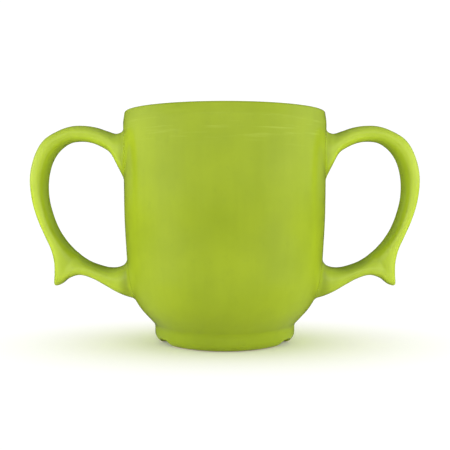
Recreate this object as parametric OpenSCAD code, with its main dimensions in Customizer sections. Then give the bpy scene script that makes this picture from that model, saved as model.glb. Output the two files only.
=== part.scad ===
// Two-handled glazed ceramic cup, standing on its foot ring.
// Millimetres, +Z up, origin at the centre of the foot ring's underside.
// The front of the cup faces -Y and the handles lie in the plane y = 0.

/* [Cup body] */
// Outer diameter at the rim
rim_d = 80.4; // [76.4:0.5:84.4]
// Height from the foot to the top of the lip
height = 90.2; // [86.2:0.5:94.2]
// Wall thickness just below the lip
wall = 4.5; // [3.5:0.1:5.5]
// How far the outside leans in over the lip
lip_lean = 0.65; // [0.2:0.05:0.8]
// Height over which it does so
lip_lean_h = 4.2; // [3:0.1:6]
// Height at which the straight upper wall starts to lean inwards
taper_z = 48; // [44:1:60]
// How far the wall has leaned in at that height, below the flare of the rim
taper_in = 0.25; // [0:0.05:0.5]
// How far the wall has leaned in where it meets the cone of the base
shoulder_in = 1.95; // [1.45:0.1:2.45]
// Height of that corner
shoulder_z = 17.6; // [16.6:0.2:18.6]
// Fillet that rounds the corner away
shoulder_round = 26; // [18:1:28]
// Thickness of the floor inside the foot ring
floor_t = 5; // [4:0.5:7]
// Fillet between the inner wall and the floor
floor_round = 16; // [10:1:18]

/* [Foot ring] */
// Outer radius of the foot ring
foot_r = 28; // [26.5:0.1:28.5]
// Height of the neck where the cone of the base meets the foot ring
neck_z = 6.4; // [5.5:0.1:7]
// Radius of the hollow inside the foot ring
foot_hollow_r = 21.8; // [20:0.1:23]
// Height of the hollow inside the foot ring
foot_hollow_h = 3.5; // [2.5:0.1:4]
// Rounding of the outer lower edge of the foot ring
foot_round = 3; // [1:0.1:3.2]
// Width of a drain notch where it meets the table
notch_w = 9.5; // [8:0.5:11]
// Width of a drain notch at its roof
notch_roof_w = 6.6; // [5:0.2:7.4]
// Height of a drain notch
notch_h = 2.2; // [1.2:0.1:2.4]
// Turn of each drain notch away from the front or the back of the cup
notch_turn = 59.5; // [40:0.5:70]

/* [Handles] */
// Multiplies the width of the handles, front to back
handle_width = 1; // [0.8:0.05:1.2]
// Squareness of the handle section: 2 is an ellipse
handle_square = 2.4; // [2:0.1:3.2]
// Reach of the slip fillet round an upper root
upper_fillet = 1.3; // [1:0.1:2]
// Reach of the slip fillet round a lower root
lower_fillet = 2.2; // [1:0.1:2.6]

/* [Smoothness] */
// Sides of the handle section
sides = 32; // [16:4:36]
// Rings between two stations of a handle
rings_per_station = 2; // [1:1:3]

/* [Hidden] */

glaze = [0.62, 0.72, 0.16];
glaze_dark = [0.52, 0.63, 0.13];

rim_r = rim_d / 2;
inner_r = rim_r - wall;
shoulder_r = rim_r - shoulder_in;
base_wall_extra = 1.5;
floor_z = foot_hollow_h + floor_t;
taper_round = 250;
neck_round = 3.5;
hollow_round = 2;
hollow_roof_r = foot_hollow_r - 0.6;
foot_inner_round = 1;
notch_round = 2;
lip_lean_round = 12;
lip_round = 0.9;
lip_inner_round = 1.6;
arc_step = 5;

// A handle on the +X side, from its upper root to its lower one. Each station is a section across
// the strap: its x and z on the side of the finger loop, its x and z on the outer side, and half
// its width. Every x is counted from the rim's radius outwards.
stations = [
    [-0.2, 63.7, -0.2, 83.1, 8.6],
    [2.2, 68.6, 2.8, 81.9, 8.2],
    [4.9, 73.7, 6.4, 82.9, 7.6],
    [8.1, 76.2, 10.7, 84.3, 7.0],
    [12.7, 78.2, 15.3, 85.0, 6.6],
    [17.3, 78.8, 20.6, 84.8, 6.5],
    [22.0, 78.0, 25.9, 83.0, 6.5],
    [26.3, 74.7, 31.6, 79.4, 6.5],
    [29.2, 69.9, 35.3, 73.3, 6.5],
    [30.7, 63.5, 37.3, 64.8, 6.5],
    [30.7, 56.5, 36.6, 55.6, 6.5],
    [29.2, 49.8, 34.4, 47.8, 6.5],
    [26.9, 43.9, 31.6, 41.2, 6.5],
    [24.0, 39.4, 29.2, 35.6, 6.5],
    [21.6, 36.7, 28.1, 30.3, 6.5],
    [19.9, 35.1, 28.1, 25.5, 6.4],
    [18.6, 34.1, 28.2, 21.5, 6.2],
    [17.5, 33.1, 25.6, 21.7, 6.4],
    [15.9, 31.9, 22.2, 24.2, 6.6],
    [13.6, 30.5, 17.7, 25.5, 6.8],
    [10.5, 29.3, 12.6, 24.1, 7.2],
    [6.9, 28.4, 7.8, 21.5, 7.6],
    [3.4, 28.4, 3.4, 18.9, 8.2],
    [0.6, 29.4, -0.6, 17.1, 8.6],
    [-1.1, 31.4, -4.0, 16.1, 9.0]
];

// ---- outlines ----

function unit(v) = v / norm(v);
function cross2(a, b) = a[0] * b[1] - a[1] * b[0];
function turned(v, a) = [v[0] * cos(a) - v[1] * sin(a), v[0] * sin(a) + v[1] * cos(a)];

// The arc of radius r that rounds corner b of the path a, b, c
function corner_arc(a, b, c, r) =
    let (u = unit(a - b), v = unit(c - b),
         half = acos(u * v) / 2,
         reach = r / tan(half),
         middle = b + unit(u + v) * r / sin(half),
         from = b + u * reach - middle,
         to = b + v * reach - middle,
         sweep = atan2(cross2(from, to), from * to),
         n = max(2, ceil(abs(sweep) / arc_step)))
    [for (i = [0:n]) middle + turned(from, sweep * i / n)];

// A path of [r, z, rounding] corners as plain points
function rounded(path) =
    [for (i = [0:len(path) - 1])
        let (p = path[i], at = [p[0], p[1]])
        for (q = p[2] > 0
             ? corner_arc([path[i - 1][0], path[i - 1][1]], at,
                          [path[i + 1][0], path[i + 1][1]], p[2])
             : [at]) q];

outer_path = [
    [foot_hollow_r, 0, foot_inner_round],
    [foot_r, 0, foot_round],
    [foot_r, neck_z, neck_round],
    [shoulder_r, shoulder_z, shoulder_round],
    [rim_r - taper_in, taper_z, taper_round],
    [rim_r, height - lip_lean_h, lip_lean_round],
    [rim_r - lip_lean, height, lip_round]
];
inner_path = [
    [inner_r, height, lip_inner_round],
    [inner_r, taper_z, taper_round],
    [shoulder_r - wall - base_wall_extra, floor_z, floor_round]
];
body_outline = rounded(concat(
    [[0, foot_hollow_h, 0], [hollow_roof_r, foot_hollow_h, hollow_round]],
    outer_path, inner_path, [[0, floor_z, 0]]));

// Outer radius of the body at height z, from the outline above the neck
outer_outline = rounded(concat(
    [[hollow_roof_r, foot_hollow_h, 0]], outer_path, [[inner_r, height, 0]]));
outer_wall = [for (p = outer_outline) if (p[1] > neck_z) [p[1], p[0]]];
function wall_r(z) = lookup(z, outer_wall);

// The point of the wall's surface, on the +X side, at this y and z
function on_wall(y, z) = [sqrt(pow(wall_r(z), 2) - y * y), y, z];

// ---- handle ----

// Smooth curve through the rows of list p, at row number u
function smooth(p, u) =
    let (n = len(p), i = min(floor(u), n - 2), t = u - i,
         a = p[max(i - 1, 0)], b = p[i], c = p[i + 1], d = p[min(i + 2, n - 1)])
    b + t / 2 * ((c - a) + t * ((2 * a - 5 * b + 4 * c - d) + t * (3 * b - a - 3 * c + d)));

function bent(c) = sign(c) * pow(abs(c), 2 / handle_square);

// The ring of section points at station s
function section(s) =
    let (inside = [rim_r + s[0], 0, s[1]], outside = [rim_r + s[2], 0, s[3]],
         middle = (inside + outside) / 2, reach = (outside - inside) / 2,
         half = s[4] * handle_width)
    [for (j = [0:sides - 1]) let (a = 360 * j / sides)
        middle + reach * bent(cos(a)) + [0, half * bent(sin(a)), 0]];

function laid(ring) = [for (p = ring) on_wall(p[1], p[2])];

ring_count = (len(stations) - 1) * rings_per_station;
rings = [for (k = [0:ring_count])
    let (ring = section(smooth(stations, k / rings_per_station)))
    k == 0 || k == ring_count ? laid(ring) : ring];

function centre(ring) = [for (i = [0:2]) [for (p = ring) p[i]] * [for (p = ring) 1] / len(ring)];

// A ring shrunk towards its middle, or spread past its edge, along the wall's surface
function shrunk(ring, share) = let (c = centre(ring)) laid([for (p = ring) c + (p - c) * share]);
function spread(ring, reach) = let (c = centre(ring)) laid([for (p = ring) p + unit(p - c) * reach]);

// Quads between neighbouring rings of n points, and a fan to close the last ring
function skin(rows, n) = [for (k = [0:rows - 2], j = [0:n - 1])
    let (a = k * n + j, b = k * n + (j + 1) % n) each [[a, b, b + n], [a, b + n, a + n]]];

cap_shares = [0.12, 0.4, 0.7];

module handle() {
    last = rings[ring_count];
    tube = concat([for (c = cap_shares) shrunk(rings[0], c)], rings,
                  [for (i = [len(cap_shares) - 1:-1:0]) shrunk(last, cap_shares[i])]);
    rows = len(tube);
    polyhedron([for (ring = tube) each ring],
               concat([[for (j = [sides - 1:-1:0]) j]], skin(rows, sides),
                      [[for (j = [0:sides - 1]) (rows - 1) * sides + j]]));
}

// Slip fillet that fills the corner between the wall and the ring of the handle next to it
module slip_joint(root, next, reach) {
    foot = spread(root, reach);
    function blend(t) = [for (j = [0:sides - 1])
        (1 - t) * (1 - t) * foot[j] + 2 * t * (1 - t) * root[j] + t * t * next[j]];
    loops = [foot, blend(1 / 3), blend(2 / 3), next, root];
    n = len(loops);
    polyhedron([for (l = loops) each l], [for (k = [0:n - 1], j = [0:sides - 1])
        let (a = k * sides + j, b = k * sides + (j + 1) % sides,
             c = (k + 1) % n * sides + j, d = (k + 1) % n * sides + (j + 1) % sides)
        each [[a, b, d], [a, d, c]]]);
}

// ---- sub-parts ----

module mug_body() {
    color(glaze)
    difference() {
        rotate_extrude($fn = 120) polygon(body_outline);
        for (side = [-1, 1], way = [-90, 90]) rotate(way + side * notch_turn) drain_notch();
    }
}

// A shallow channel cut along the radius, under the foot ring and a little past both its faces
module drain_notch() {
    past = 2;
    slope = (notch_w - notch_roof_w) / 2;
    translate([foot_hollow_r - past, 0, 0]) rotate([90, 0, 90])
        linear_extrude(foot_r - foot_hollow_r + 2 * past)
            polygon(rounded([[-notch_w / 2 - slope, -notch_h, 0],
                             [-notch_roof_w / 2, notch_h, notch_round],
                             [notch_roof_w / 2, notch_h, notch_round],
                             [notch_w / 2 + slope, -notch_h, 0]]));
}

module right_handle() { color(glaze) handle(); }
module left_handle() { mirror([1, 0, 0]) right_handle(); }

module right_upper_slip_joint() {
    color(glaze_dark) slip_joint(rings[0], rings[1], upper_fillet);
}
module right_lower_slip_joint() {
    color(glaze_dark) slip_joint(rings[ring_count], rings[ring_count - 1], lower_fillet);
}
module left_upper_slip_joint() { mirror([1, 0, 0]) right_upper_slip_joint(); }
module left_lower_slip_joint() { mirror([1, 0, 0]) right_lower_slip_joint(); }

mug_body();
left_handle();
right_handle();
left_upper_slip_joint();
left_lower_slip_joint();
right_upper_slip_joint();
right_lower_slip_joint();
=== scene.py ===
import math

import bpy
import numpy as np
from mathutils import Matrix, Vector


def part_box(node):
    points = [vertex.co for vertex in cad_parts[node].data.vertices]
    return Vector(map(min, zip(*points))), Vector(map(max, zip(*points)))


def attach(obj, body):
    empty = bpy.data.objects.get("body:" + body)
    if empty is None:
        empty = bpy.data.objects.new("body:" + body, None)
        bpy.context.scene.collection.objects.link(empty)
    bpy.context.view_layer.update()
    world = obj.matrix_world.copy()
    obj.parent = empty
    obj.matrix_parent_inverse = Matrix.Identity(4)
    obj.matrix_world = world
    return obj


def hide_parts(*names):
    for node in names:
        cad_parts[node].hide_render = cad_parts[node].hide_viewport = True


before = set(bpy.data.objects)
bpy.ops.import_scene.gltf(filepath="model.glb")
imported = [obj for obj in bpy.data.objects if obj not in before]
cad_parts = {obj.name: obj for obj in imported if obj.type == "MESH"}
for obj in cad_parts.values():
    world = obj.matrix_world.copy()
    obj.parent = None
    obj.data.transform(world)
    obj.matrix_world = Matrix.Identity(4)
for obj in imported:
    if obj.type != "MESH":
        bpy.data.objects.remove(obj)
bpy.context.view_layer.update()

MM = 0.001

# ---------------------------------------------------------------- sizes, in millimetres
_, BODY_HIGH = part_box("mug_body")
_, HANDLE_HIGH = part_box("right_handle")
RIM_R = BODY_HIGH[1] / MM
HEIGHT = BODY_HIGH[2] / MM
HANDLE_REACH = HANDLE_HIGH[0] / MM - RIM_R

# The wall, from the lip down: the lip leans in, the wall tapers a little and turns in at the
# shoulder. A name that ends in ROUND is the radius of a rounded corner.
WALL = 4.5
INNER_R = RIM_R - WALL
LIP_LEAN, LIP_LEAN_H, LIP_LEAN_ROUND = 0.65, 4.2, 12.0
LIP_ROUND, LIP_INNER_ROUND = 0.9, 1.6
TAPER_R, TAPER_Z, TAPER_ROUND = RIM_R - 0.25, 48.0, 250.0
SHOULDER_R, SHOULDER_Z, SHOULDER_ROUND = RIM_R - 1.95, 17.6, 26.0
BASE_WALL = WALL + 1.5
FLOOR_Z, FLOOR_ROUND = 8.5, 16.0

# The foot ring and the hollow under it
FOOT_R, FOOT_ROUND, FOOT_INNER_ROUND = 28.0, 3.0, 1.0
NECK_Z, NECK_ROUND = 6.4, 3.5
HOLLOW_R, HOLLOW_ROOF_R, HOLLOW_H, HOLLOW_ROUND = 21.8, 21.2, 3.5, 2.0

# The four shallow arches through the foot ring: width, height, and how many degrees they lie to
# both sides of the front and of the back, then how square they are and how soft their edges are
ARCH_W, ARCH_H, ARCH_TURN = 9.5, 2.2, 59.5
ARCH_SQUARE, ARCH_SOFT = 5, 0.35
# A height under every point of the cup, where there is no arch
NO_ARCH = -10.0

# The slip fillets: how far each spreads over the wall, how far its edges sink into the wall and the
# handle, how far under them its back lies, and the share of the spread that the back has
UPPER_FILLET, LOWER_FILLET = 1.3, 2.2
FILLET_SINK, FILLET_BACK, FILLET_BACK_SHARE = 0.04, 0.35, 0.9
# A fillet ends this far along the handle, in stations
FILLET_ALONG = 0.5

# The handle's section lies between an ellipse, at 2, and a rectangle
HANDLE_SQUARE = 2.4
# The handle's ends reach this deep into the wall
ROOT_DEPTH = 1.2

# A handle from its upper root to its lower one. Each station is a section across the strap: its x
# and z on the side of the finger loop, its x and z on the outer side, and half its width. Every x
# is counted from the rim's radius outwards.
STATIONS = np.array([
    (-0.2, 63.7, -0.2, 83.1, 8.6),
    (2.2, 68.6, 2.8, 81.9, 8.2),
    (4.9, 73.7, 6.4, 82.9, 7.6),
    (8.1, 76.2, 10.7, 84.3, 7.0),
    (12.7, 78.2, 15.3, 85.0, 6.6),
    (17.3, 78.8, 20.6, 84.8, 6.5),
    (22.0, 78.0, 25.9, 83.0, 6.5),
    (26.3, 74.7, 31.6, 79.4, 6.5),
    (29.2, 69.9, 35.3, 73.3, 6.5),
    (30.7, 63.5, 37.3, 64.8, 6.5),
    (30.7, 56.5, 36.6, 55.6, 6.5),
    (29.2, 49.8, 34.4, 47.8, 6.5),
    (26.9, 43.9, 31.6, 41.2, 6.5),
    (24.0, 39.4, 29.2, 35.6, 6.5),
    (21.6, 36.7, 28.1, 30.3, 6.5),
    (19.9, 35.1, 28.1, 25.5, 6.4),
    (18.6, 34.1, 28.2, 21.5, 6.2),
    (17.5, 33.1, 25.6, 21.7, 6.4),
    (15.9, 31.9, 22.2, 24.2, 6.6),
    (13.6, 30.5, 17.7, 25.5, 6.8),
    (10.5, 29.3, 12.6, 24.1, 7.2),
    (6.9, 28.4, 7.8, 21.5, 7.6),
    (3.4, 28.4, 3.4, 18.9, 8.2),
    (0.6, 29.4, -0.6, 17.1, 8.6),
    (-1.1, 31.4, -4.0, 16.1, 9.0),
])
LAST = len(STATIONS) - 1

# How finely the meshes are divided
BODY_SIDES = 360
HANDLE_SIDES = 80
RINGS_PER_STATION = 8
FILLET_STEPS = 12
LONGEST_STEP = 1.2
ARC_STEP, FEWEST_ARC_STEPS = math.radians(2.0), 6


# ---------------------------------------------------------------- outlines
def unit(v):
    return v / np.linalg.norm(v)


def corner_arc(a, b, c, radius):
    """The arc that rounds corner b of the path a, b, c."""
    u, v = unit(a - b), unit(c - b)
    half = math.acos(float(u @ v)) / 2
    reach = radius / math.tan(half)
    middle = b + unit(u + v) * radius / math.sin(half)
    start, end = b + u * reach - middle, b + v * reach - middle
    sweep = math.atan2(start[0] * end[1] - start[1] * end[0], float(start @ end))
    n = max(FEWEST_ARC_STEPS, math.ceil(abs(sweep) / ARC_STEP))
    for i in range(n + 1):
        t = sweep * i / n
        yield middle + np.array([start[0] * math.cos(t) - start[1] * math.sin(t),
                                 start[0] * math.sin(t) + start[1] * math.cos(t)])


def rounded(corners):
    """A path of (r, z, rounding) corners as plain points."""
    at = [np.array(c[:2], float) for c in corners]
    points = []
    for i, c in enumerate(corners):
        if c[2] > 0:
            points.extend(corner_arc(at[i - 1], at[i], at[i + 1], c[2]))
        else:
            points.append(at[i])
    return np.array(points)


def filled(points):
    """The same path with no step longer than the longest that is allowed."""
    out = [points[0]]
    for a, b in zip(points[:-1], points[1:]):
        n = max(1, math.ceil(np.linalg.norm(b - a) / LONGEST_STEP))
        out.extend(a + (b - a) * k / n for k in range(1, n + 1))
    return np.array(out)


OUTER_PATH = [
    (HOLLOW_R, 0, FOOT_INNER_ROUND),
    (FOOT_R, 0, FOOT_ROUND),
    (FOOT_R, NECK_Z, NECK_ROUND),
    (SHOULDER_R, SHOULDER_Z, SHOULDER_ROUND),
    (TAPER_R, TAPER_Z, TAPER_ROUND),
    (RIM_R, HEIGHT - LIP_LEAN_H, LIP_LEAN_ROUND),
    (RIM_R - LIP_LEAN, HEIGHT, LIP_ROUND),
]
INNER_PATH = [
    (INNER_R, HEIGHT, LIP_INNER_ROUND),
    (INNER_R, TAPER_Z, TAPER_ROUND),
    (SHOULDER_R - BASE_WALL, FLOOR_Z, FLOOR_ROUND),
]
BODY_OUTLINE = filled(rounded([(0, HOLLOW_H, 0), (HOLLOW_ROOF_R, HOLLOW_H, HOLLOW_ROUND),
                               *OUTER_PATH, *INNER_PATH, (0, FLOOR_Z, 0)]))
OUTER_WALL = rounded([(HOLLOW_ROOF_R, HOLLOW_H, 0), *OUTER_PATH, (INNER_R, HEIGHT, 0)])
OUTER_WALL = OUTER_WALL[OUTER_WALL[:, 1] > NECK_Z]


def wall_r(z):
    """Outer radius of the body at height z."""
    return np.interp(z, OUTER_WALL[:, 1], OUTER_WALL[:, 0])


# ---------------------------------------------------------------- objects
def add_object(name, data):
    """A new object in the scene that holds this mesh, lamp or camera."""
    thing = bpy.data.objects.new(name, data)
    bpy.context.scene.collection.objects.link(thing)
    return thing


def add_mesh(name, points, faces, material):
    mesh = bpy.data.meshes.new(name)
    mesh.from_pydata(points, [], faces)
    mesh.materials.append(material)
    return add_object(name, mesh)


def make_piece(name, points, faces, nodes, slot, material):
    """A smooth mesh piece that rides on the cup and stands for CAD nodes. points are in mm."""
    piece = add_mesh(name, [tuple(p) for p in np.asarray(points) * MM], faces, material)
    piece.data.validate()
    piece.data.polygons.foreach_set("use_smooth", [True] * len(piece.data.polygons))
    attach(piece, "root")
    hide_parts(*nodes)


# ---------------------------------------------------------------- meshes
def skin(rows, n, closed=False):
    """Quads between neighbouring rings of n points. A closed skin joins the last ring to the first."""
    return [(k * n + j, k * n + (j + 1) % n,
             (k + 1) % rows * n + (j + 1) % n, (k + 1) % rows * n + j)
            for k in range(rows if closed else rows - 1) for j in range(n)]


def capped(rows, n):
    """A skin with both ends closed by fans, round two middle points that follow the rings."""
    start, end = rows * n, rows * n + 1
    last = (rows - 1) * n
    faces = skin(rows, n)
    faces += [(start, (j + 1) % n, j) for j in range(n)]
    faces += [(end, last + j, last + (j + 1) % n) for j in range(n)]
    return faces


def soft_max(a, b, k):
    """The larger of a and b, with the crease between them rounded over k."""
    h = np.maximum(k - np.abs(a - b), 0) / k
    return np.maximum(a, b) + h * h * k / 4


def arch_roof(x, y):
    """The height of the arches over each point, or far below it where there is none."""
    roof = np.full(len(x), NO_ARCH)
    for side in (-1, 1):
        for way in (-90, 90):
            a = math.radians(way + side * ARCH_TURN)
            along = x * math.cos(a) + y * math.sin(a)
            across = -x * math.sin(a) + y * math.cos(a)
            arch = ARCH_H * (1 - np.abs(2 * across / ARCH_W) ** ARCH_SQUARE)
            roof = np.maximum(roof, np.where(along > 0, arch, NO_ARCH))
    return roof


def notched(points):
    """Lifts the foot ring into the arches under it."""
    x, y, z = points.T
    ring = np.hypot(x, y) > HOLLOW_ROOF_R - HOLLOW_ROUND / 2
    low = z < NECK_Z
    z = np.where(ring & low, soft_max(z, arch_roof(x, y), ARCH_SOFT), z)
    return np.stack([x, y, z], axis=1)


def body_mesh():
    """The turned body, from the middle of the hollow's roof round to the middle of the floor."""
    n = BODY_SIDES
    rows = BODY_OUTLINE[1:-1]
    turn = np.linspace(0, 2 * math.pi, n, endpoint=False)
    rings = np.stack([np.outer(rows[:, 0], np.cos(turn)), np.outer(rows[:, 0], np.sin(turn)),
                      np.repeat(rows[:, 1:2], n, axis=1)], axis=2).reshape(-1, 3)
    points = np.vstack([notched(rings), [[0, 0, HOLLOW_H], [0, 0, FLOOR_Z]]])
    return points, capped(len(rows), n)


def smooth(rows, u):
    """Smooth curve through the rows, at row number u."""
    i = min(int(u), len(rows) - 2)
    t = u - i
    a, b, c, d = (rows[min(max(k, 0), len(rows) - 1)] for k in (i - 1, i, i + 1, i + 2))
    return b + t / 2 * ((c - a) + t * ((2 * a - 5 * b + 4 * c - d) + t * (3 * b - a - 3 * c + d)))


# The handle's sections turn this way so that its faces look outwards
SECTION_TURN = np.linspace(0, -2 * math.pi, HANDLE_SIDES, endpoint=False)


def squared(c):
    """A circle's sine or cosine, pushed out towards a rectangle's."""
    return np.sign(c) * np.abs(c) ** (2 / HANDLE_SQUARE)


def section(station):
    """The ring of section points at a station."""
    inner_x, inner_z, outer_x, outer_z, half_width = station
    inside = np.array([RIM_R + inner_x, 0, inner_z])
    outside = np.array([RIM_R + outer_x, 0, outer_z])
    middle, reach = (inside + outside) / 2, (outside - inside) / 2
    ring = middle + np.outer(squared(np.cos(SECTION_TURN)), reach)
    ring[:, 1] += half_width * squared(np.sin(SECTION_TURN))
    return ring


def section_at(u):
    """The ring of section points at station number u, which may lie between two stations."""
    return section(smooth(STATIONS, u))


def laid(ring, depth=0.0):
    """The ring dropped on the wall along X, or this far under the wall's surface."""
    r = wall_r(ring[:, 2]) - depth
    return np.stack([np.sqrt(r ** 2 - ring[:, 1] ** 2), ring[:, 1], ring[:, 2]], axis=1)


def pulled(ring, depth):
    """The ring shrunk by this much towards its middle."""
    middle = ring.mean(axis=0)
    out = ring - middle
    length = np.linalg.norm(out, axis=1, keepdims=True)
    return middle + out * (1 - depth / length)


def spread(ring, reach, depth=0.0):
    """The ring moved past its edge by the reach, along the wall."""
    out = ring - ring.mean(axis=0)
    return laid(ring + out / np.linalg.norm(out, axis=1, keepdims=True) * reach, depth)


def handle_mesh():
    """The right handle, from its upper end in the wall to its lower one."""
    rings = [section_at(k / RINGS_PER_STATION) for k in range(LAST * RINGS_PER_STATION + 1)]
    rings[0], rings[-1] = laid(rings[0]), laid(rings[-1])
    rings = [laid(rings[0], ROOT_DEPTH), *rings, laid(rings[-1], ROOT_DEPTH)]
    points = np.vstack([*rings, rings[0].mean(axis=0), rings[-1].mean(axis=0)])
    # The strap reaches no further out than the CAD handle
    share = min(1.0, HANDLE_REACH / (points[:, 0].max() - RIM_R))
    out = points[:, 0] > RIM_R
    points[out, 0] = RIM_R + (points[out, 0] - RIM_R) * share
    return points, capped(len(rings), HANDLE_SIDES)


def fillet_mesh(root_u, next_u, reach):
    """The slip fillet in the corner between the wall and the right handle, as a closed ring."""
    root = laid(section_at(root_u))
    foot = spread(root, reach, FILLET_SINK)
    near = pulled(section_at(next_u), FILLET_SINK)
    loops = [(1 - t) ** 2 * foot + 2 * t * (1 - t) * root + t * t * near
             for t in np.linspace(0, 1, FILLET_STEPS + 1)]
    loops += [pulled(near, FILLET_BACK), laid(pulled(root, FILLET_BACK), FILLET_BACK),
              spread(root, reach * FILLET_BACK_SHARE, FILLET_BACK)]
    faces = skin(len(loops), HANDLE_SIDES, closed=True)
    if next_u < root_u:
        faces = [f[::-1] for f in faces]
    return np.vstack(loops), faces


def on_side(side, points, faces):
    """The mesh as it is, for the right side, or its mirror image, for the left."""
    if side == "right":
        return points, faces
    return points * np.array([-1, 1, 1]), [f[::-1] for f in faces]


# ---------------------------------------------------------------- node trees
class Graph:
    """The emptied node tree of a material or world, with a short way to add each kind of node. A
    value that a node takes may be another node's output or a plain number, vector or colour."""

    def __init__(self, owner):
        owner.use_nodes = True
        self.tree = owner.node_tree
        self.tree.nodes.clear()

    def feed(self, socket, value):
        """Links another node's output to the socket, or sets the socket's own value."""
        if isinstance(value, bpy.types.NodeSocket):
            self.tree.links.new(value, socket)
        else:
            socket.default_value = (*value, 1) if socket.type == "RGBA" else value

    def node(self, kind, inputs=None, **settings):
        """A new node with these settings. Its inputs are named or numbered."""
        node = self.tree.nodes.new(f"ShaderNode{kind}")
        for name, setting in settings.items():
            setattr(node, name, setting)
        for key, value in (inputs or {}).items():
            self.feed(node.inputs[key], value)
        return node

    def math(self, operation, *values):
        return self.node("Math", dict(enumerate(values)), operation=operation).outputs[0]

    def vector(self, operation, *values):
        """One step of vector maths. A length or a dot product gives a number, the others a vector."""
        node = self.node("VectorMath", dict(enumerate(values)), operation=operation)
        return node.outputs["Value" if operation in ("LENGTH", "DOT_PRODUCT") else "Vector"]

    def axis(self, vector, name):
        return self.node("SeparateXYZ", {0: vector}).outputs[name]

    def remap(self, value, low, high, to_low=0, to_high=1, curve="LINEAR"):
        """The value, clamped between low and high, scaled to the new range."""
        inputs = {"Value": value, "From Min": low, "From Max": high,
                  "To Min": to_low, "To Max": to_high}
        return self.node("MapRange", inputs, interpolation_type=curve).outputs["Result"]

    def noise(self, coords, scale, detail):
        inputs = {"Vector": coords, "Scale": scale, "Detail": detail}
        return self.node("TexNoise", inputs).outputs["Fac"]

    def pattern(self, coords, look, none=0, full=1):
        """A noise pattern with this look, as a value from none to full."""
        scale, detail, low, high = look
        return self.remap(self.noise(coords, scale, detail), low, high, none, full)

    def mixed(self, share, first, second, blend="MIX"):
        """Two colours mixed by the share."""
        inputs = {"Factor": share, "A": first, "B": second}
        return self.node("Mix", inputs, data_type="RGBA", blend_type=blend).outputs["Result"]

    def bumped(self, height, strength, distance, normal=None):
        """The normal, bumped by the height. The distance is in millimetres."""
        inputs = {"Height": height, "Strength": strength, "Distance": distance * MM}
        if normal is not None:
            inputs["Normal"] = normal
        return self.node("Bump", inputs).outputs["Normal"]

    def diffuse(self, colour):
        return self.node("BsdfDiffuse", {"Color": colour}).outputs[0]

    def background(self, strength):
        inputs = {"Color": (1, 1, 1), "Strength": strength}
        return self.node("Background", inputs).outputs[0]

    def either(self, share, first, second):
        """Two shaders mixed by the share."""
        return self.node("MixShader", {0: share, 1: first, 2: second}).outputs[0]

    def by_ray(self, given, in_gloss, seen):
        """What lights the cup, what its gloss shows and what the camera sees, as one shader."""
        path = self.node("LightPath").outputs
        felt = self.either(path["Is Glossy Ray"], given, in_gloss)
        return self.either(path["Is Camera Ray"], felt, seen)


# ---------------------------------------------------------------- glaze
BODY_COLOUR = (0.317, 0.421, 0.0175)
# Painted light: the handles are the body's glaze painted brighter, for the side light they catch
HANDLE_PAINTED_LIGHT_COLOUR = (0.434, 0.571, 0.033)
BARE_CLAY = (0.62, 0.53, 0.40)
# How strongly each glaze reflects, as the shader's specular level
BODY_GLOSS, HANDLE_GLOSS, JOINT_GLOSS = 0.24, 0.44, 0.34

# Tints that multiply the glaze's colour, and the largest share of some of them
THICK_TINT, THIN_TINT = (0.91, 0.92, 0.935), (1.085, 1.075, 1.065)
FLECK_TINT, FLECK_SHARE = (0.72, 0.78, 1.0), 0.16
RUN_TINT = (0.975, 0.975, 0.975)
# Painted shade: a darker tint round the neck and the foot, near the floor
LOW_SHADE_TINT, LOW_SHADE_SHARE = (0.60, 0.62, 1.0), 0.10
# Painted highlights: pale, nearly white lines under the lip
LIP_HIGHLIGHT_TINT, LIP_HIGHLIGHT_SHARE = (1.45, 1.35, 4.0), 0.46

# Patterns: the noise's scale and detail, and the noise at which the pattern starts and is full
CLOUDS = (48, 3, 0.28, 0.72)
FLECKS = (420, 2, 0.58, 0.75)
RUNS = (330, 2, 0.4, 0.6)
HIGHLIGHT_STREAKS = (70, 3, 0.55, 0.70)
DULLNESS = (60, 4, 0.3, 0.7)
# Two of them are squeezed by these factors along X, Y and Z. A factor under 1 stretches.
RUN_SQUEEZE, HIGHLIGHT_SQUEEZE = (1, 1, 0.12), (1, 1, 16)

# Bumps: the noise's scale and detail, then the bump's strength and its distance in millimetres
SWELL, SWELL_BUMP = (75, 2), (0.25, 0.4)
ORANGE_PEEL, ORANGE_PEEL_BUMP = (1100, 1), (0.35, 0.01)
TURNED_RINGS = {"Scale": 95, "Distortion": 1.6, "Detail": 2, "Detail Scale": 0.5}
TURNED_RING_BUMP = (0.10, 0.03)

# The glaze's least and greatest roughness, and the bare clay's
ROUGHNESS = (0.14, 0.22)
CLAY_ROUGHNESS = 0.85

# Heights on the body, and how far from the rim's radius the handle's painted light fades in, in
# millimetres
BARE_FULL_Z, BARE_END_Z = 0.30, 0.45
# Where the painted shade starts, above the neck
LOW_SHADE_END_Z = NECK_Z + 2.5
# Where the painted highlights under the lip start, are strongest and end
HIGHLIGHT_LOW_Z, HIGHLIGHT_FULL_Z, HIGHLIGHT_HIGH_Z = 74, 82, 89
ROOT_FADE = 2.5


def glaze_tint(g, coords):
    """Clouds where the glaze lies thick or thin, fine flecks and upright runs."""
    tint = g.mixed(g.pattern(coords, CLOUDS), THICK_TINT, THIN_TINT)
    tint = g.mixed(g.pattern(coords, FLECKS, full=FLECK_SHARE), tint, FLECK_TINT)
    runs = g.pattern(g.vector("MULTIPLY", coords, RUN_SQUEEZE), RUNS)
    return g.mixed(runs, tint, g.mixed(1.0, tint, RUN_TINT, "MULTIPLY"))


def painted_low_shade(g, height, tint):
    """Painted shade: the glaze is painted a little darker round the neck and all over the foot."""
    share = g.remap(height, LOW_SHADE_END_Z * MM, NECK_Z * MM, 0, LOW_SHADE_SHARE)
    return g.mixed(share, tint, LOW_SHADE_TINT)


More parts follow.
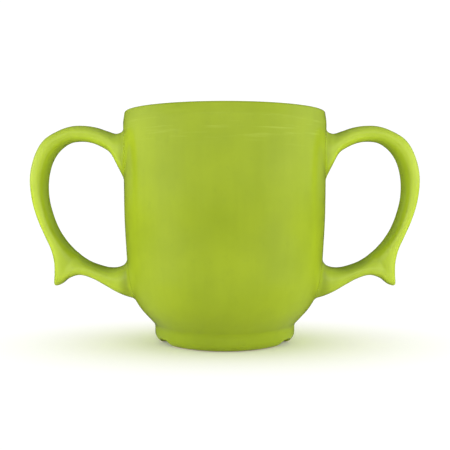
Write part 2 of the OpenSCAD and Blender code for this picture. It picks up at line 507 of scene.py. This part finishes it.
def painted_lip_highlights(g, coords, height, tint):
    """Painted highlights: faint pale lines run round under the lip, where its lean catches the light.
    """
    start, middle, end = (z * MM for z in (HIGHLIGHT_LOW_Z, HIGHLIGHT_FULL_Z, HIGHLIGHT_HIGH_Z))
    band = g.math("MULTIPLY", g.remap(height, start, middle, 0, LIP_HIGHLIGHT_SHARE),
                  g.remap(height, middle, end, 1, 0))
    highlight_marks = g.pattern(g.vector("MULTIPLY", coords, HIGHLIGHT_SQUEEZE), HIGHLIGHT_STREAKS)
    return g.mixed(g.math("MULTIPLY", highlight_marks, band), tint, LIP_HIGHLIGHT_TINT)


def turned_rings(g, coords):
    """The faint rings that turning left round the body, as a height for a bump."""
    wave = g.node("TexWave", {"Vector": coords, **TURNED_RINGS},
                  wave_type="BANDS", bands_direction="Z")
    return wave.outputs["Fac"]


def glaze_material(name, lime, gloss, turned=False):
    """Glossy lime glaze. A turned one has faint rings, painted highlights under the lip, painted shade
    round the neck and the foot, and a bare foot. The others carry painted light, a colour brighter
    than the body's, and take up the body's colour where they meet its wall."""
    material = bpy.data.materials.new(name)
    g = Graph(material)
    coords = g.node("TexCoord").outputs["Object"]
    tint = glaze_tint(g, coords)
    rough = g.pattern(coords, DULLNESS, *ROUGHNESS)
    normal = g.bumped(g.noise(coords, *SWELL), *SWELL_BUMP)
    normal = g.bumped(g.noise(coords, *ORANGE_PEEL), *ORANGE_PEEL_BUMP, normal)

    if turned:
        height = g.axis(coords, "Z")
        # Painted shade low down and painted highlights under the lip
        tint = painted_lip_highlights(g, coords, height, painted_low_shade(g, height, tint))
        bare = g.remap(height, BARE_END_Z * MM, BARE_FULL_Z * MM)
        colour = g.mixed(bare, g.mixed(1.0, lime, tint, "MULTIPLY"), BARE_CLAY)
        rough = g.math("MAXIMUM", rough, g.remap(bare, 0, 1, 0, CLAY_ROUGHNESS))
        normal = g.bumped(turned_rings(g, coords), *TURNED_RING_BUMP, normal)
    else:
        # Painted light: the handle's brighter colour fades to the body's colour at the wall
        from_axis = g.vector("LENGTH", g.vector("MULTIPLY", coords, (1, 1, 0)))
        away = g.remap(from_axis, RIM_R * MM, (RIM_R + ROOT_FADE) * MM)
        colour = g.mixed(1.0, g.mixed(away, BODY_COLOUR, lime), tint, "MULTIPLY")

    shader = g.node("BsdfPrincipled", {"Base Color": colour, "Roughness": rough,
                                       "Specular IOR Level": gloss, "Normal": normal})
    g.node("OutputMaterial", {"Surface": shader.outputs[0]})
    return material


BODY_GLAZE = glaze_material("body_glaze", BODY_COLOUR, BODY_GLOSS, turned=True)
HANDLE_GLAZE = glaze_material("handle_glaze", HANDLE_PAINTED_LIGHT_COLOUR, HANDLE_GLOSS)
JOINT_GLAZE = glaze_material("joint_glaze", HANDLE_PAINTED_LIGHT_COLOUR, JOINT_GLOSS)

# ---------------------------------------------------------------- the cup
make_piece("cup_body", *body_mesh(), ["mug_body"], "body_glaze", BODY_GLAZE)

FILLETS = [
    ("upper", 0, FILLET_ALONG, UPPER_FILLET),
    ("lower", LAST, LAST - FILLET_ALONG, LOWER_FILLET),
]
for side in ("right", "left"):
    make_piece(f"{side}_loop_handle", *on_side(side, *handle_mesh()), [f"{side}_handle"],
               "handle_glaze", HANDLE_GLAZE)
    for root, root_u, next_u, reach in FILLETS:
        make_piece(f"{side}_{root}_fillet", *on_side(side, *fillet_mesh(root_u, next_u, reach)),
                   [f"{side}_{root}_slip_joint"], "joint_glaze", JOINT_GLAZE)

# ---------------------------------------------------------------- floor
FLOOR_SIZE = 6.0
# How bright the plain white is, on the far floor and behind it
BACKDROP = 1.05
# The floor's colour as the camera sees it near the cup, tinted yellow-green as painted bounce light
# from the cup, and its colour as it lights the cup
FLOOR_SEEN_WITH_BOUNCE = (0.955, 0.98, 0.715)
FLOOR_GIVES = (0.98, 0.93, 0.83)
# The shade under the cup is an ellipse: its middle and its half sizes, in metres, and the shares of
# those sizes where it starts to fade and has gone
SHADE_AT, SHADE_SIZE = (0, -0.010, 0), (0.087, 0.047, 1)
SHADE_FULL, SHADE_END = 0.0, 1.35
# In the gloss the floor is bright in front of the cup and dim behind it: where it fades, as the
# share of the way that points to the back, and how bright it is on both sides of the fade
GLOSS_FADE, GLOSS_FLOOR = (-0.3, 0.4), (0.65, 0.05)


def floor_material():
    """White floor: shaded round the cup and tinted there with painted green bounce light, plain white
    further out, and dim behind it in the gloss.
    """
    material = bpy.data.materials.new("pale_floor")
    g = Graph(material)
    coords = g.node("TexCoord").outputs["Object"]
    from_cup = g.vector("LENGTH", g.vector("DIVIDE", g.vector("SUBTRACT", coords, SHADE_AT),
                                           SHADE_SIZE))
    fade = g.remap(from_cup, SHADE_FULL, SHADE_END, curve="SMOOTHSTEP")
    white = g.node("Emission", {"Strength": BACKDROP}).outputs[0]
    way = g.vector("NORMALIZE", g.vector("MULTIPLY", coords, (1, 1, 0)))
    in_gloss = g.remap(g.axis(way, "Y"), *GLOSS_FADE, *GLOSS_FLOOR)
    # Near the cup the camera sees the floor tinted with painted bounce light
    surface = g.by_ray(g.diffuse(FLOOR_GIVES), g.diffuse(in_gloss),
                       g.either(fade, g.diffuse(FLOOR_SEEN_WITH_BOUNCE), white))
    g.node("OutputMaterial", {"Surface": surface})
    return material


def make_floor():
    half = FLOOR_SIZE / 2
    corners = [(-half, -half, 0), (half, -half, 0), (half, half, 0), (-half, half, 0)]
    floor = add_mesh("floor", corners, [(0, 1, 2, 3)], floor_material())


make_floor()

# ---------------------------------------------------------------- light
# Soft glows of the studio: how far round from the front they are, to both sides, how high and how
# wide, all in degrees, then how strongly they light the cup and how bright they are in its gloss
GLOWS = [
    (0, 7, 20, 0.70, 0.95),
    (30, 10, 20, 0.0, 0.70),
    (60, 10, 20, 0.0, 0.60),
    (90, 10, 20, 2.15, 0.80),
    (120, 10, 20, 0.9, 0.20),
    (160, 20, 25, 0.6, 0.0),
    (120, 45, 25, 0.45, 0.0),
    (0, 45, 25, 0.0, 0.50),
    (0, 88, 25, 0.0, 0.60),
]


def glow(g, direction, around, above, width):
    """A round glow that fades smoothly away from its middle."""
    a, e = math.radians(around), math.radians(above)
    middle = (math.sin(a) * math.cos(e), -math.cos(a) * math.cos(e), math.sin(e))
    past = g.math("SUBTRACT", g.vector("DOT_PRODUCT", direction, middle), 1.0)
    return g.math("EXPONENT", g.math("DIVIDE", past, math.radians(width) ** 2))


def make_world():
    world = bpy.data.worlds.new("studio")
    bpy.context.scene.world = world
    # The glows differ between light and gloss, so rays find them and they aren't sampled as lamps
    world.cycles.sampling_method = "NONE"
    g = Graph(world)
    direction = g.node("TexCoord").outputs["Generated"]
    light = gloss = 0.0
    for around, above, width, light_strength, gloss_strength in GLOWS:
        for side in (1, -1) if around else (1,):
            lobe = glow(g, direction, side * around, above, width)
            light = g.math("MULTIPLY_ADD", lobe, light_strength, light)
            gloss = g.math("MULTIPLY_ADD", lobe, gloss_strength, gloss)
    surface = g.by_ray(g.background(light), g.background(gloss), g.background(BACKDROP))
    g.node("OutputWorld", {"Surface": surface})


make_world()

# Softboxes: place on the right, which is mirrored unless it is in the middle, then size and power,
# in metres and watts. They are so near that the gloss would show their edges, so it shows only the
# glows.
SOFTBOXES = [
    ("low_side", (0.25, -0.15, 0.06), 0.2, 0.133),
    ("low_middle", (0.25, -0.05, 0.06), 0.2, 0.028),
    ("front_side", (0.18, -0.26, 0.10), 0.2, 0.135),
    ("near_side", (0.16, -0.10, 0.05), 0.1, 0.048),
    ("top", (0.0, -0.02, 0.45), 0.3, 0.193),
]
# Each one aims at this height, and those at the side aim this far out on their own side
AIM_X, AIM_Z = 0.04, 0.05


def aimed(at, aim):
    """The rotation that turns a lamp at one place towards another."""
    return (Vector(aim) - Vector(at)).to_track_quat("-Z", "Y").to_euler()


def softbox(name, at, size, power):
    lamp = bpy.data.lights.new(name, "AREA")
    lamp.shape = "SQUARE"
    lamp.size = size
    lamp.energy = power
    holder = add_object(name, lamp)
    holder.location = at
    holder.rotation_euler = aimed(at, (math.copysign(AIM_X, at[0]) if at[0] else 0.0, 0, AIM_Z))
    holder.visible_camera = False
    holder.visible_glossy = False


for name, (x, y, z), size, power in SOFTBOXES:
    for side in (1, -1) if x else (1,):
        softbox(f"{name}_softbox", (side * x, y, z), size, power)

# ---------------------------------------------------------------- camera
# In front of the cup at two thirds of its height, in metres, looking this many degrees down
CAMERA_AT = (0, -0.280, 0.0602)
DOWNWARDS = 3.008
# Sensor and lens in millimetres, and the shift as a share of the picture's width
SENSOR, LENS, SHIFT_X = 36, 55.8, 0.00045


def make_camera():
    lens = bpy.data.cameras.new("camera")
    lens.sensor_width = SENSOR
    lens.lens = LENS
    lens.shift_x = SHIFT_X
    camera = add_object("camera", lens)
    camera.location = CAMERA_AT
    camera.rotation_euler = (math.radians(90 - DOWNWARDS), 0, 0)
    bpy.context.scene.camera = camera


make_camera()

bpy.context.scene.view_settings.view_transform = "Standard"
bpy.context.scene.view_settings.look = "None"
